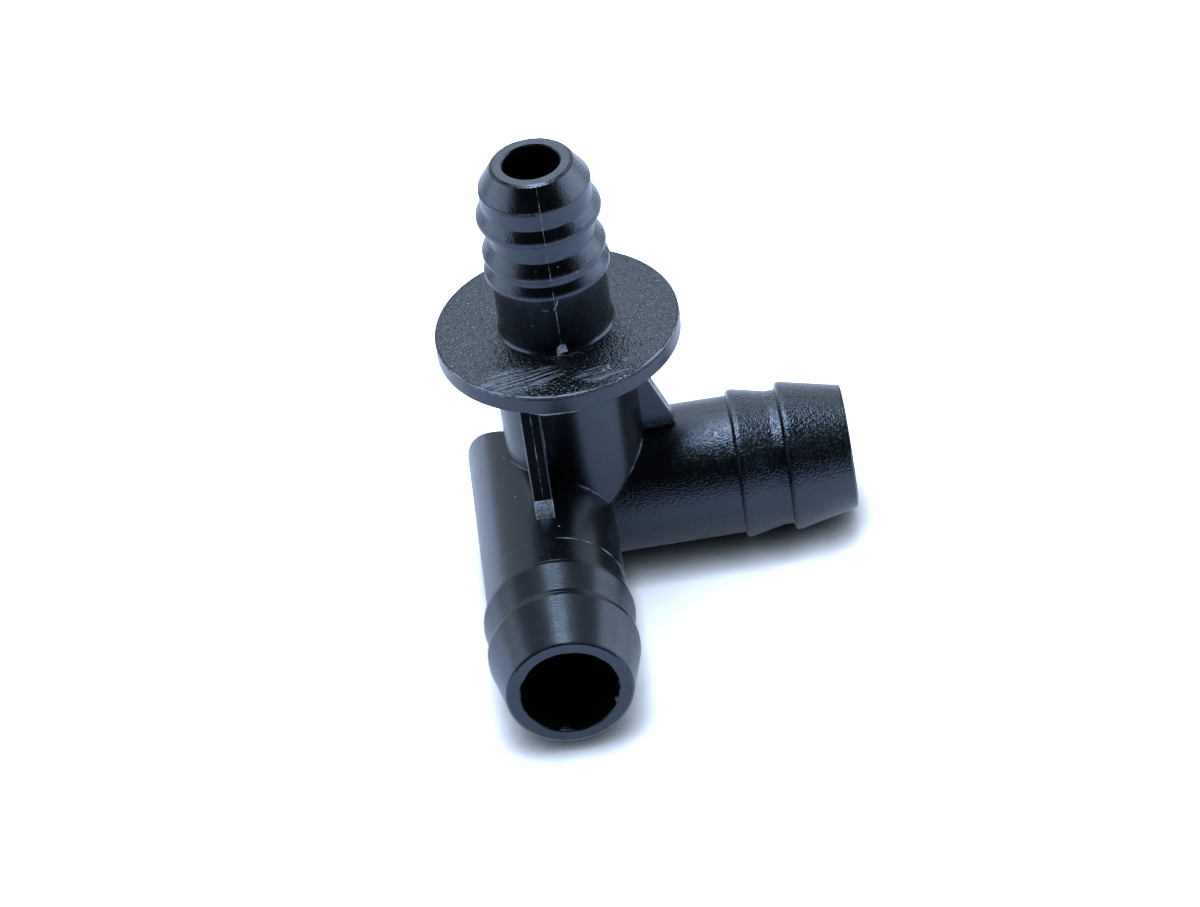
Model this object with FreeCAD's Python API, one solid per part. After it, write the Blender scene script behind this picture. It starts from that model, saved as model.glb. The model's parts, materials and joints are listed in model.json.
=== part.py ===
"""Three-way corner hose fitting, moulded in one piece.

Two barbed hose legs of one size meet at a right angle in a mitred elbow. A stem as thick as the legs
stands near the corner of the elbow and carries a round flange with a ribbed push-in spigot above it. Two
thin webs brace the stem on the legs. One waterway joins all three ports.

Frame: the spigot axis is +Z, the side leg points along +X and the front leg along -Y. The origin is on the
spigot axis in the upper face of the flange, the face that seats when the spigot is pushed home.
"""
import os
import math
import FreeCAD
import Part

# Legs: a plain tube with two barbs, the same on both
leg_bore_dia = 9.1
tube_wall = 1.95
leg_reach = 29.2
leg_tip_wall = 1.25

# Barbs: crests stand proud of the tube and taper towards the tip
barb_rise = 0.5
barb_land = 0.45
outer_barb_length = 6.0
barb_pitch = 4.6
barb_groove_depth = 0.65
barb_groove_width = 1.0

# Stem: its axis crosses the side leg this far from the corner of the elbow
stem_offset = 3.9
stem_height = 17.75

# Flange
flange_dia = 22.7
flange_thickness = 2.0

# Spigot, stacked upwards from the flange; ribs, grooves and nose are sized from the neck
spigot_bore_dia = 5.3
neck_dia = 10.5
neck_length = 6.6
groove_relief = 0.35
rib_land = 0.5
low_rib_rise = 0.55
low_rib_ramp = 0.7
low_rib_pitch = 2.0
mid_rib_rise = 0.45
mid_rib_ramp = 1.1
mid_rib_pitch = 4.0
top_rib_rise = 0.5
top_rib_ramp = 0.95
nose_relief = 0.1
nose_band_length = 1.95
nose_height = 2.15
nose_tip_wall = 1.1

# Webs: reach of each foot from its own axis, measured along the leg
web_thickness = 1.75
web_lean_deg = 21.0
side_web_foot = 9.4
side_web_end_height = 0.55
front_web_foot = 12.0
front_web_facet = 1.3
front_web_shift = 0.15

# Edges: breaks are small chamfers, cut by this much along both sides of a corner
flange_edge_radius = 0.22
flange_back_break = 0.2
flange_root_break = 0.5
neck_foot_radius = 0.6
crest_break = 0.08
leg_tip_break = 0.2
nose_tip_break = 0.18
mouth_chamfer = 0.12
web_edge_radius = 0.16

# Radii
leg_bore_r = leg_bore_dia / 2
leg_tip_r = leg_bore_r + leg_tip_wall
tube_r = leg_bore_r + tube_wall
barb_r = tube_r + barb_rise
barb_groove_r = barb_r - barb_groove_depth
flange_r = flange_dia / 2
spigot_bore_r = spigot_bore_dia / 2
neck_r = neck_dia / 2
groove_r = neck_r - groove_relief
low_rib_r = neck_r + low_rib_rise
mid_rib_r = neck_r + mid_rib_rise
top_rib_r = neck_r + top_rib_rise
nose_r = neck_r - nose_relief
nose_tip_r = spigot_bore_r + nose_tip_wall

# Stations along a leg, from the corner of the elbow
outer_crest = leg_reach - outer_barb_length
inner_crest = outer_crest - barb_pitch
barb_slope = (barb_r - leg_tip_r) / (outer_barb_length - barb_land)
full_taper_end = inner_crest + barb_land + barb_groove_depth / barb_slope
inner_taper_end = min(full_taper_end, outer_crest - barb_groove_width)

# Heights above the leg axes
flange_top = stem_height + flange_thickness
low_crest = flange_top + neck_length
low_ramp_top = low_crest + rib_land + low_rib_ramp
mid_crest = low_crest + low_rib_pitch
mid_ramp_top = mid_crest + rib_land + mid_rib_ramp
top_crest = mid_crest + mid_rib_pitch
top_ramp_top = top_crest + rib_land + top_rib_ramp
nose_base = top_ramp_top + nose_band_length
spigot_tip = nose_base + nose_height

# Directions and places
origin = FreeCAD.Vector(0, 0, 0)
x_axis = FreeCAD.Vector(1, 0, 0)
y_axis = FreeCAD.Vector(0, 1, 0)
z_axis = FreeCAD.Vector(0, 0, 1)
corner = FreeCAD.Vector(-stem_offset, 0, 0)
past_corner = 2 * tube_r
past_mouth = tube_r


def with_breaks(outline):
    """Cuts each corner that has a third value by that much along both of its sides."""
    corners = [FreeCAD.Vector(corner[0], corner[1], 0) for corner in outline]
    points = []
    for index, here in enumerate(corners):
        if len(outline[index]) == 2:
            points.append(here)
            continue
        for neighbour in (corners[index - 1], corners[(index + 1) % len(corners)]):
            points.append(here + (neighbour - here).normalize() * outline[index][2])
    return points


def turned(outline, axis):
    """Turns an outline of (station, radius) or (station, radius, break) corners about the X or Z axis."""
    points = with_breaks(outline)
    if axis is z_axis:
        points = [FreeCAD.Vector(point.y, 0, point.x) for point in points]
    face = Part.Face(Part.makePolygon(points + [points[0]]))
    return face.revolve(origin, axis, 360)


def with_round_edge(solid, height, radius, rounding):
    """Rounds the circular edge of the column that has this height and radius."""
    found = []
    for edge in solid.Edges:
        if not isinstance(edge.Curve, Part.Circle):
            continue
        same_height = abs(edge.Curve.Center.z - height) < 1e-4
        same_radius = abs(edge.Curve.Radius - radius) < 1e-4
        if same_height and same_radius:
            found.append(edge)
    return solid.makeFillet(rounding, found)


def mitred_legs(leg):
    """Two copies of a leg along +X and -Y, each cut back to the mitre plane of the elbow."""
    side = leg_reach + past_corner + past_mouth
    block = Part.makeBox(2 * side, 4 * side, 2 * side)
    block.translate(FreeCAD.Vector(0, -2 * side, -side))
    towards_side = block.copy()
    towards_side.rotate(origin, z_axis, 45)
    towards_front = block.copy()
    towards_front.rotate(origin, z_axis, -135)
    side_leg = leg.common(towards_side)
    front_leg = leg.copy()
    front_leg.rotate(origin, z_axis, -90)
    front_leg = front_leg.common(towards_front)
    side_leg.translate(corner)
    front_leg.translate(corner)
    return side_leg, front_leg


# Legs
leg_outline = [
    (-past_corner, 0),
    (-past_corner, tube_r),
    (inner_crest, tube_r),
    (inner_crest, barb_r, crest_break),
    (inner_crest + barb_land, barb_r),
    (inner_taper_end, barb_groove_r),
    (outer_crest, barb_groove_r),
    (outer_crest, barb_r, crest_break),
    (outer_crest + barb_land, barb_r),
    (leg_reach, leg_tip_r, leg_tip_break),
    (leg_reach, 0),
]
side_leg, front_leg = mitred_legs(turned(leg_outline, x_axis))

# Waterway of the legs, opened a little at each mouth
leg_mouth_r = leg_bore_r + mouth_chamfer
leg_core_outline = [
    (-past_corner, 0),
    (-past_corner, leg_bore_r),
    (leg_reach - mouth_chamfer, leg_bore_r),
    (leg_reach, leg_mouth_r),
    (leg_reach + past_mouth, leg_mouth_r),
    (leg_reach + past_mouth, 0),
]
side_core, front_core = mitred_legs(turned(leg_core_outline, x_axis))

# Column: stem, flange, neck, three sawtooth ribs and a cone-shaped nose
column_outline = [
    (0, 0),
    (0, tube_r),
    (stem_height, tube_r, flange_root_break),
    (stem_height, flange_r, flange_back_break),
    (flange_top, flange_r),
    (flange_top, neck_r),
    (low_crest, neck_r),
    (low_crest, low_rib_r, crest_break),
    (low_crest + rib_land, low_rib_r, crest_break),
    (low_ramp_top, neck_r),
    (mid_crest, neck_r),
    (mid_crest, mid_rib_r, crest_break),
    (mid_crest + rib_land, mid_rib_r, crest_break),
    (mid_ramp_top, groove_r),
    (top_crest, groove_r),
    (top_crest, top_rib_r, crest_break),
    (top_crest + rib_land, top_rib_r, crest_break),
    (top_ramp_top, nose_r),
    (nose_base, nose_r, crest_break),
    (spigot_tip, nose_tip_r, nose_tip_break),
    (spigot_tip, 0),
]
column = turned(column_outline, z_axis)
column = with_round_edge(column, flange_top, flange_r, flange_edge_radius)
column = with_round_edge(column, flange_top, neck_r, neck_foot_radius)

# Waterway of the spigot, down into the side leg
spigot_mouth_r = spigot_bore_r + mouth_chamfer
spigot_core_outline = [
    (0, 0),
    (0, spigot_bore_r),
    (spigot_tip - mouth_chamfer, spigot_bore_r),
    (spigot_tip, spigot_mouth_r),
    (spigot_tip + past_mouth, spigot_mouth_r),
    (spigot_tip + past_mouth, 0),
]
spigot_core = turned(spigot_core_outline, z_axis)

# Webs, drawn as side views of (reach, height) points: rooted in the tube wall, topped inside the flange
lean = math.tan(math.radians(web_lean_deg))
web_root = (tube_r + leg_bore_r) / 2
web_top = stem_height + flange_thickness / 2

side_shoulder = tube_r + side_web_end_height
side_web_view = [
    (0, web_root),
    (side_web_foot, web_root),
    (side_web_foot, side_shoulder),
    (side_web_foot - (web_top - side_shoulder) * lean, web_top),
    (0, web_top),
]

facet_sink = (tube_r - web_root) / 4
front_shoulder = tube_r + front_web_facet
front_shoulder_reach = front_web_foot - front_web_facet
front_web_view = [
    (0, web_root),
    (front_web_foot + facet_sink, web_root),
    (front_web_foot + facet_sink, tube_r - facet_sink),
    (front_shoulder_reach, front_shoulder),
    (front_shoulder_reach - (web_top - front_shoulder) * lean, web_top),
    (0, web_top),
]


def web(view):
    """Thickens a side view evenly about the XZ plane and rounds the edges of its sloping faces."""
    points = [FreeCAD.Vector(reach, -web_thickness / 2, height) for reach, height in view]
    plate = Part.Face(Part.makePolygon(points + [points[0]])).extrude(y_axis * web_thickness)
    sloping = []
    for edge in plate.Edges:
        run = edge.Vertexes[1].Point - edge.Vertexes[0].Point
        if abs(run.x) > 1e-3 and abs(run.z) > 1e-3:
            sloping.append(edge)
    return plate.makeFillet(web_edge_radius, sloping)


side_web = web(side_web_view)
front_web = web(front_web_view)
front_web.rotate(origin, z_axis, -90)
front_web.translate(corner + x_axis * front_web_shift)


# The moulding: legs and column joined, webs added, waterway cut through
body = side_leg.fuse(front_leg).fuse(column)
body = body.fuse([side_web, front_web])
body = body.cut([side_core, front_core, spigot_core])
body = body.Solids[0]
body.translate(z_axis * -flange_top)

os.makedirs("parts", exist_ok=True)
body.exportStep("parts/fitting_body.step")

size = body.BoundBox
print("fitting_body %.2f x %.2f x %.2f mm" % (size.XLength, size.YLength, size.ZLength))
print("volume %.2f cm3, valid %s" % (body.Volume / 1000, body.isValid()))
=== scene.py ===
# %% [markdown]
# # A black moulded hose fitting on a white table
#
# The part is one moulding of black plastic: two barbed hose legs that meet at a right angle, and a ribbed
# spigot that stands on a round flange above their corner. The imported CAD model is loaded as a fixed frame,
# so every size is already right. This lesson gives it its finish, its light and the small traces of the
# mould that a CAD model leaves out: parting lines, the gate's stump, slivers of flash, worn edges and scuffs.
#
# Lengths are written in millimetres, because the marks on the part are tenths of a millimetre. `mm` turns
# them into Blender's metres.

# %% Load the frame
import json
import math

import bmesh
import bpy
from mathutils import Euler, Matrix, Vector, noise
from mathutils.bvhtree import BVHTree


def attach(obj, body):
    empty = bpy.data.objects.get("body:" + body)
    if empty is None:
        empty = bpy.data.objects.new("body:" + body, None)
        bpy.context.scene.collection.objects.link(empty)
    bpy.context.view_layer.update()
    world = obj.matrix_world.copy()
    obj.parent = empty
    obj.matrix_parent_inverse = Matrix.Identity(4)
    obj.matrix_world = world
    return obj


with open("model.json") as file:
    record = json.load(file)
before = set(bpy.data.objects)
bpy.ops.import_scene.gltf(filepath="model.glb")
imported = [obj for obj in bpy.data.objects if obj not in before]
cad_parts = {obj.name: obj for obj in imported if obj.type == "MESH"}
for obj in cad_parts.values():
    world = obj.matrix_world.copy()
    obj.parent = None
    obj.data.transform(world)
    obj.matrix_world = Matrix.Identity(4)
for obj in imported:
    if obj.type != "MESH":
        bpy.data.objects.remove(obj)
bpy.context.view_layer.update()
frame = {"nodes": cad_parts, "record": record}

scene = bpy.context.scene
scene.view_settings.view_transform = "Standard"
body = frame["nodes"]["fitting_body"]
slot_name = frame["record"]["materials"][0]["slot"]


def mm(*lengths):
    """Millimetres as metres: one number, or a vector of three."""
    if len(lengths) == 1:
        return lengths[0] / 1000
    return Vector(lengths) / 1000


print("frame loaded:", body.name, "with", len(body.data.polygons), "faces, slot", slot_name)

# %% [markdown]
# ## Camera
#
# The picture was taken with a long lens from in front and above, and the camera was rolled a little, so the
# spigot leans to the left. A long lens is a small sensor angle: 180 mm on a 36 mm sensor sees about 11
# degrees, and it stands over half a metre away. The place and the turn were solved once from the part's own
# circles and edges.

# %% Camera
camera_place = mm(2.848, -442.769, 329.990)
camera_turn = (51.6448, 7.0869, -5.4744)
camera_lens = 180.0
camera_sensor = 36.0

camera_data = bpy.data.cameras.new("camera")
camera_data.lens = camera_lens
camera_data.sensor_width = camera_sensor
camera_data.clip_start = mm(10)
camera_data.clip_end = mm(10000)
camera = bpy.data.objects.new("camera", camera_data)
camera.location = camera_place
camera.rotation_euler = Euler([math.radians(angle) for angle in camera_turn])
scene.collection.objects.link(camera)
scene.camera = camera
print("camera stands %.0f mm from the part" % (camera_place.length * 1000))

# %% [markdown]
# ## Table and light
#
# Shiny black shows hardly any colour of its own. What the eye reads as its shape is the reflection of the
# room: the white table below, a white backdrop and a bright panel behind, a panel at each side, one overhead
# and a dark room round the camera. So the light is built for its reflections. The panels are area lamps,
# which a glossy surface sees as bright rectangles. The overhead one is seen only in reflections, because as a
# lamp over the paper it would cast one wide, hard shadow. The other three and the room light the paper.
#
# The table is a plain pale diffuse sheet. A picture on white is exposed so that the paper clips, and only the
# contact shadow stays under the part. So the paper's colour is raised for rays from the camera, and less for
# glossy rays, while the light that it throws back on the part stays that of plain paper. Right under the part
# the paper is shaded a little deeper than its light alone would do. In reflections it also ends a hand's
# breadth in front of the part, where the dark room begins.
#
# A few helpers come first. They keep the node code short: each makes one node and returns its output.

# %% Helpers for node trees
def add_node(tree, kind, label="", **settings):
    """Adds a node and sets its options."""
    node = tree.nodes.new(kind)
    node.label = label
    for name, value in settings.items():
        setattr(node, name, value)
    return node


def plug(tree, socket, value):
    """Feeds an input: a plain number or colour is set on it, and an output is linked to it."""
    if isinstance(value, bpy.types.NodeSocket):
        tree.links.new(value, socket)
    else:
        socket.default_value = value


def emptied(owner):
    """The node tree of a new material or world, with nothing in it."""
    owner.use_nodes = True
    owner.node_tree.nodes.clear()
    return owner.node_tree


def show(tree, shader, kind="ShaderNodeOutputMaterial"):
    """Puts the shader out as the surface."""
    out = add_node(tree, kind, "output")
    plug(tree, out.inputs["Surface"], shader.outputs[0])


def calc(tree, label, operation, *values):
    """One step of arithmetic between sockets and plain numbers."""
    node = add_node(tree, "ShaderNodeMath", label, operation=operation)
    for index, value in enumerate(values):
        plug(tree, node.inputs[index], value)
    return node.outputs[0]


def mix_sockets(node):
    """The factor, the two inputs and the output of a Mix node, for the kind of value that it mixes."""
    kind = {"FLOAT": "VALUE", "RGBA": "RGBA"}[node.data_type]
    factor = next(socket for socket in node.inputs if socket.name == "Factor" and socket.type == "VALUE")
    first = next(socket for socket in node.inputs if socket.name == "A" and socket.type == kind)
    second = next(socket for socket in node.inputs if socket.name == "B" and socket.type == kind)
    result = next(socket for socket in node.outputs if socket.name == "Result" and socket.type == kind)
    return factor, first, second, result


def mixed(tree, label, amount, low, high, kind="FLOAT"):
    """A value between two others."""
    factor, first, second, result = mix_sockets(add_node(tree, "ShaderNodeMix", label, data_type=kind))
    plug(tree, factor, amount)
    plug(tree, first, low)
    plug(tree, second, high)
    return result


def mixed_colour(tree, label, amount, low, high):
    """A colour between two others."""
    return mixed(tree, label, amount, low, high, "RGBA")


def soft_step(tree, label, value, start, end):
    """0 at the start and 1 at the end, with a smooth rise between them. The start may be the higher one."""
    node = add_node(tree, "ShaderNodeMapRange", label, interpolation_type="SMOOTHSTEP")
    plug(tree, node.inputs["Value"], value)
    node.inputs["From Min"].default_value = min(start, end)
    node.inputs["From Max"].default_value = max(start, end)
    node.inputs["To Min"].default_value = 0.0 if start < end else 1.0
    node.inputs["To Max"].default_value = 1.0 if start < end else 0.0
    return node.outputs["Result"]


def between(tree, label, value, low, high, softness):
    """1 between two places and 0 outside them, with soft borders."""
    above = soft_step(tree, label + " above", value, low - softness, low + softness)
    below = soft_step(tree, label + " below", value, high + softness, high - softness)
    return calc(tree, label, "MULTIPLY", above, below)


# %% Table
# Lengths are in mm, and a colour over 1 is paper exposed past white.
table_size = 4000
table_height = -26.76
table_colour = (0.80, 0.82, 0.84, 1)
table_for_camera = (3.10, 3.15, 3.40, 1)
table_for_gloss = (1.58, 1.67, 1.95, 1)
contact_reach = 4.0
contact_depth = 2.0
contact_samples = 6
black = (0, 0, 0, 1)
table_far_for_gloss = (0.08, 0.09, 0.11, 1)
table_lit_to = -95
table_dark_from = -150


def table_material():
    """Pale diffuse paper, exposed brighter for camera rays and a little for glossy and transmission rays."""
    material = bpy.data.materials.new("table_paper")
    tree = emptied(material)
    path = add_node(tree, "ShaderNodeLightPath", "who looks")
    mirror = calc(tree, "gloss or glass", "MAXIMUM", path.outputs["Is Glossy Ray"],
                  path.outputs["Is Transmission Ray"])
    place = add_node(tree, "ShaderNodeNewGeometry", "place on the table")
    parts = add_node(tree, "ShaderNodeSeparateXYZ", "parts of the place")
    plug(tree, parts.inputs[0], place.outputs["Position"])
    far = soft_step(tree, "towards the dark room", parts.outputs["Y"], mm(table_lit_to), mm(table_dark_from))
    gloss = mixed_colour(tree, "table in reflections", far, table_for_gloss, table_far_for_gloss)
    colour = mixed_colour(tree, "for gloss", mirror, table_colour, gloss)
    near = add_node(tree, "ShaderNodeAmbientOcclusion", "close under the part", samples=contact_samples)
    near.inputs["Distance"].default_value = mm(contact_reach)
    open_sky = calc(tree, "contact shadow", "POWER", near.outputs["AO"], contact_depth)
    seen = mixed_colour(tree, "shaded paper", open_sky, black, table_for_camera)
    colour = mixed_colour(tree, "for the camera", path.outputs["Is Camera Ray"], colour, seen)
    paper = add_node(tree, "ShaderNodeBsdfDiffuse", "paper")
    plug(tree, paper.inputs["Color"], colour)
    show(tree, paper)
    return material


def level_sheet(name, centre, size):
    """A square sheet that lies level."""
    half = mm(size / 2)
    mesh = bpy.data.meshes.new(name)
    corners = [(-half, -half, 0), (half, -half, 0), (half, half, 0), (-half, half, 0)]
    mesh.from_pydata(corners, [], [(0, 1, 2, 3)])
    sheet = bpy.data.objects.new(name, mesh)
    sheet.location = centre
    scene.collection.objects.link(sheet)
    return sheet


table = level_sheet("table", mm(0, 0, table_height), table_size)
table.data.materials.append(table_material())
print("table top at %.2f mm" % table_height)

# %% Panels of light
lamp_tint = (0.78, 0.91, 1.04)
lamp_aim = mm(0, 0, -10)


def panel(name, centre, width, height, brightness, only_in_gloss=False):
    """An area lamp that faces the part. Brightness is what a mirror would see, where 1 is white.

    A lamp that is only in gloss shows in reflections and throws no light on matt things such as the paper.
    """
    data = bpy.data.lights.new(name, "AREA")
    data.shape = "RECTANGLE"
    data.size = mm(width)
    data.size_y = mm(height)
    data.color = lamp_tint
    data.energy = brightness * math.pi * mm(width) * mm(height)
    lamp = bpy.data.objects.new(name, data)
    lamp.location = centre
    lamp.rotation_euler = (lamp_aim - centre).to_track_quat("-Z", "Y").to_euler()
    lamp.visible_camera = False
    lamp.visible_diffuse = not only_in_gloss
    scene.collection.objects.link(lamp)
    return lamp


panel("panel_back", mm(40, 520, 430), width=440, height=330, brightness=1.9)
panel("panel_top", mm(0, 66, 640), width=210, height=290, brightness=22.0, only_in_gloss=True)
panel("panel_left", mm(-600, -10, 160), width=640, height=380, brightness=2.4)
panel("panel_right", mm(600, 10, 160), width=640, height=380, brightness=3.1)
print("four panels of light")

# %% [markdown]
# ## The room around the table
#
# The world stands for the rest of the room. A glossy surface sees a white backdrop behind the part and a
# dark room where the camera stands, which is what draws the deep black down the middle of every rounded
# face. The camera itself sees plain white.

# %% Room
room_dim = 0.50
room_dark = 0.012
room_colour = (0.80, 0.90, 1.0, 1)
room_for_camera = (1, 1, 1, 1)
room_white = 0.72
backdrop_starts = -0.05
backdrop_full = 0.85


def room_world():
    """White for the camera, white behind and dark in front for gloss, and dim for all other light."""
    world = bpy.data.worlds.new("room")
    tree = emptied(world)
    path = add_node(tree, "ShaderNodeLightPath", "who looks")
    place = add_node(tree, "ShaderNodeTexCoord", "direction")
    parts = add_node(tree, "ShaderNodeSeparateXYZ", "parts of the direction")
    plug(tree, parts.inputs[0], place.outputs["Generated"])
    behind = soft_step(tree, "backdrop", parts.outputs["Y"], backdrop_starts, backdrop_full)
    gloss = calc(tree, "backdrop light", "MULTIPLY_ADD", behind, room_white - room_dark, room_dark)
    mirror = calc(tree, "gloss or glass", "MAXIMUM", path.outputs["Is Glossy Ray"],
                  path.outputs["Is Transmission Ray"])
    for_gloss = calc(tree, "light for gloss", "MULTIPLY", mirror, gloss)
    plain = calc(tree, "all other rays", "SUBTRACT", 1.0, mirror)
    strength = calc(tree, "room light", "MULTIPLY_ADD", plain, room_dim, for_gloss)
    strength = calc(tree, "white for the camera", "MAXIMUM", strength, path.outputs["Is Camera Ray"])
    light = add_node(tree, "ShaderNodeBackground", "room")
    colour = mixed_colour(tree, "room colour", path.outputs["Is Camera Ray"], room_colour, room_for_camera)
    plug(tree, light.inputs["Color"], colour)
    plug(tree, light.inputs["Strength"], strength)
    show(tree, light, "ShaderNodeOutputWorld")
    return world


scene.world = room_world()
print("room light", room_dim)

# %% [markdown]
# ## Shared effects
#
# Two finishes use the same effects: the black plastic itself and the pale, stressed plastic of flash and
# worn edges. Each effect is a node group that is built once. A group takes a place on the part, a size and
# an amount, and puts out only masks and heights.
#
# **Spark grain** is the pebbled skin that spark erosion leaves in a mould: the cells of a Voronoi texture
# stand like pebbles, and a finer noise rides on them. **Handling scuffs** are fine scratches that run one way
# and lie together in streaks: noise of two widths, both stretched along the scratch.

# %% Node groups for the effects
def new_group(name, inputs, outputs):
    """An empty shader node group with named sockets, and its two end nodes."""
    group = bpy.data.node_groups.new(name, "ShaderNodeTree")
    for label, kind, value in inputs:
        socket = group.interface.new_socket(label, in_out="INPUT", socket_type=kind)
        if value is not None:
            socket.default_value = value
    for label in outputs:
        group.interface.new_socket(label, in_out="OUTPUT", socket_type="NodeSocketFloat")
    start = group.nodes.new("NodeGroupInput")
    end = group.nodes.new("NodeGroupOutput")
    return group, start, end


def use_group(tree, group, label, **values):
    """Places a group in a material. Underscores in a name stand for spaces."""
    node = add_node(tree, "ShaderNodeGroup", label)
    node.node_tree = group
    for name, value in values.items():
        plug(tree, node.inputs[name.replace("_", " ")], value)
    return node


def noise_at(tree, label, place, size, detail, roughness=0.5):
    """Noise whose lumps are about as wide as the size, which is in metres."""
    node = add_node(tree, "ShaderNodeTexNoise", label)
    plug(tree, node.inputs["Vector"], place)
    scale = calc(tree, label + " scale", "DIVIDE", 1.0, size)
    plug(tree, node.inputs["Scale"], scale)
    node.inputs["Detail"].default_value = detail
    node.inputs["Roughness"].default_value = roughness
    return node.outputs["Fac"]


pebble_smoothness = 0.35
fine_pebble_share = 0.6
fine_pebble_weight = 0.8
peaks_from = 0.95
peaks_full = 1.15


def spark_grain_group():
    """Height of the eroded skin, and a mask of its highest pebbles."""
    group, start, end = new_group(
        "spark_grain",
        [("Place", "NodeSocketVector", None), ("Pebble Size", "NodeSocketFloat", mm(0.3))],
        ["Height", "Peaks"],
    )
    cells = add_node(group, "ShaderNodeTexVoronoi", "pebbles", feature="SMOOTH_F1")
    plug(group, cells.inputs["Vector"], start.outputs["Place"])
    pebble_scale = calc(group, "pebble scale", "DIVIDE", 1.0, start.outputs["Pebble Size"])
    plug(group, cells.inputs["Scale"], pebble_scale)
    cells.inputs["Smoothness"].default_value = pebble_smoothness
    fine_size = calc(group, "fine size", "MULTIPLY", start.outputs["Pebble Size"], fine_pebble_share)
    fine = noise_at(group, "fine pebbles", start.outputs["Place"], fine_size, 1.0)
    height = calc(group, "both sizes", "MULTIPLY_ADD", fine, fine_pebble_weight, cells.outputs["Distance"])
    plug(group, end.inputs["Height"], height)
    plug(group, end.inputs["Peaks"], soft_step(group, "peaks", height, peaks_from, peaks_full))
    return group


scratch_stretch = 20.0
scratch_turn = 13
wide_streak_share = 3.0
fine_scratch_weight = 0.7
limit_for_none = 1.02
limit_drop = 0.40
scratch_softness = 0.24


def scuffs_group():
    """A mask of scratches that run together in streaks, a little askew of X."""
    group, start, end = new_group(
        "handling_scuffs",
        [("Place", "NodeSocketVector", None), ("Width", "NodeSocketFloat", mm(0.1)),
         ("Amount", "NodeSocketFloat", 0.5)],
        ["Mask"],
    )
    squeeze = add_node(group, "ShaderNodeMapping", "long, and askew of X", vector_type="TEXTURE")
    squeeze.inputs["Scale"].default_value = (scratch_stretch, 1.0, 1.0)
    squeeze.inputs["Rotation"].default_value = (0, 0, math.radians(scratch_turn))
    plug(group, squeeze.inputs["Vector"], start.outputs["Place"])
    wide_size = calc(group, "wide streak", "MULTIPLY", start.outputs["Width"], wide_streak_share)
    wide = noise_at(group, "wide streaks", squeeze.outputs[0], wide_size, 1.0)
    fine = noise_at(group, "fine scratches", squeeze.outputs[0], start.outputs["Width"], 1.0)
    streaks = calc(group, "scratches in streaks", "MULTIPLY_ADD", fine, fine_scratch_weight, wide)
    limit = calc(group, "limit", "MULTIPLY_ADD", start.outputs["Amount"], -limit_drop, limit_for_none)
    over = calc(group, "over the limit", "SUBTRACT", streaks, limit)
    plug(group, end.inputs["Mask"], soft_step(group, "scuffs", over, 0.0, scratch_softness))
    return group


spark_grain = spark_grain_group()
handling_scuffs = scuffs_group()
print("effects:", spark_grain.name, "and", handling_scuffs.name)

# %% [markdown]
# ## Zones of the mould
#
# The mould was spark-eroded where the part should look matt: the whole side leg, the front leg from a small
# witness ring outwards but more faintly, the foot of the front web and the flange's upper face. The stem, the
# rear of the front leg and the spigot came out of smoother steel. A point's place is enough to tell its zone,
# so the masks are worked out from its coordinates. The stem and the side leg are as thick as each other, and
# two such tubes meet in a plane: the border between them is where the height over the leg's axis equals X.

# %% Zones
leg_axis_height = -19.75
tube_radius = 6.5
stem_offset = 3.9
flange_radius = 11.35
flange_thickness = 2.0
ring_reach = 14.9
web_foot_reach = 12.15
web_foot_start = 10.75
web_foot_rise = 1.5
neck_start = 0.7
neck_end = 6.55
face_depth = 0.35
zone_border = 0.12
grain_of_front_leg = 0.2

# Scuffed patches of the flange: the middle and the half widths in plan, and how strong they are
left_patch = (-4.2, -8.0), (4.6, 2.3)
right_patch = (3.4, -8.9), (3.0, 1.3)
right_patch_strength = 0.8


def patch_mask(tree, label, x, y, centre, reach):
    """1 in the middle of an oval patch of the plan, and 0 at its border."""
    across = calc(tree, label + " across", "SUBTRACT", x, mm(centre[0]))
    along = calc(tree, label + " along", "SUBTRACT", y, mm(centre[1]))
    across = calc(tree, label + " share across", "DIVIDE", across, mm(reach[0]))
    along = calc(tree, label + " share along", "DIVIDE", along, mm(reach[1]))
    across = calc(tree, label + " across squared", "MULTIPLY", across, across)
    away = calc(tree, label + " distance squared", "MULTIPLY_ADD", along, along, across)
    return soft_step(tree, label, away, 1.0, 0.25)


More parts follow.
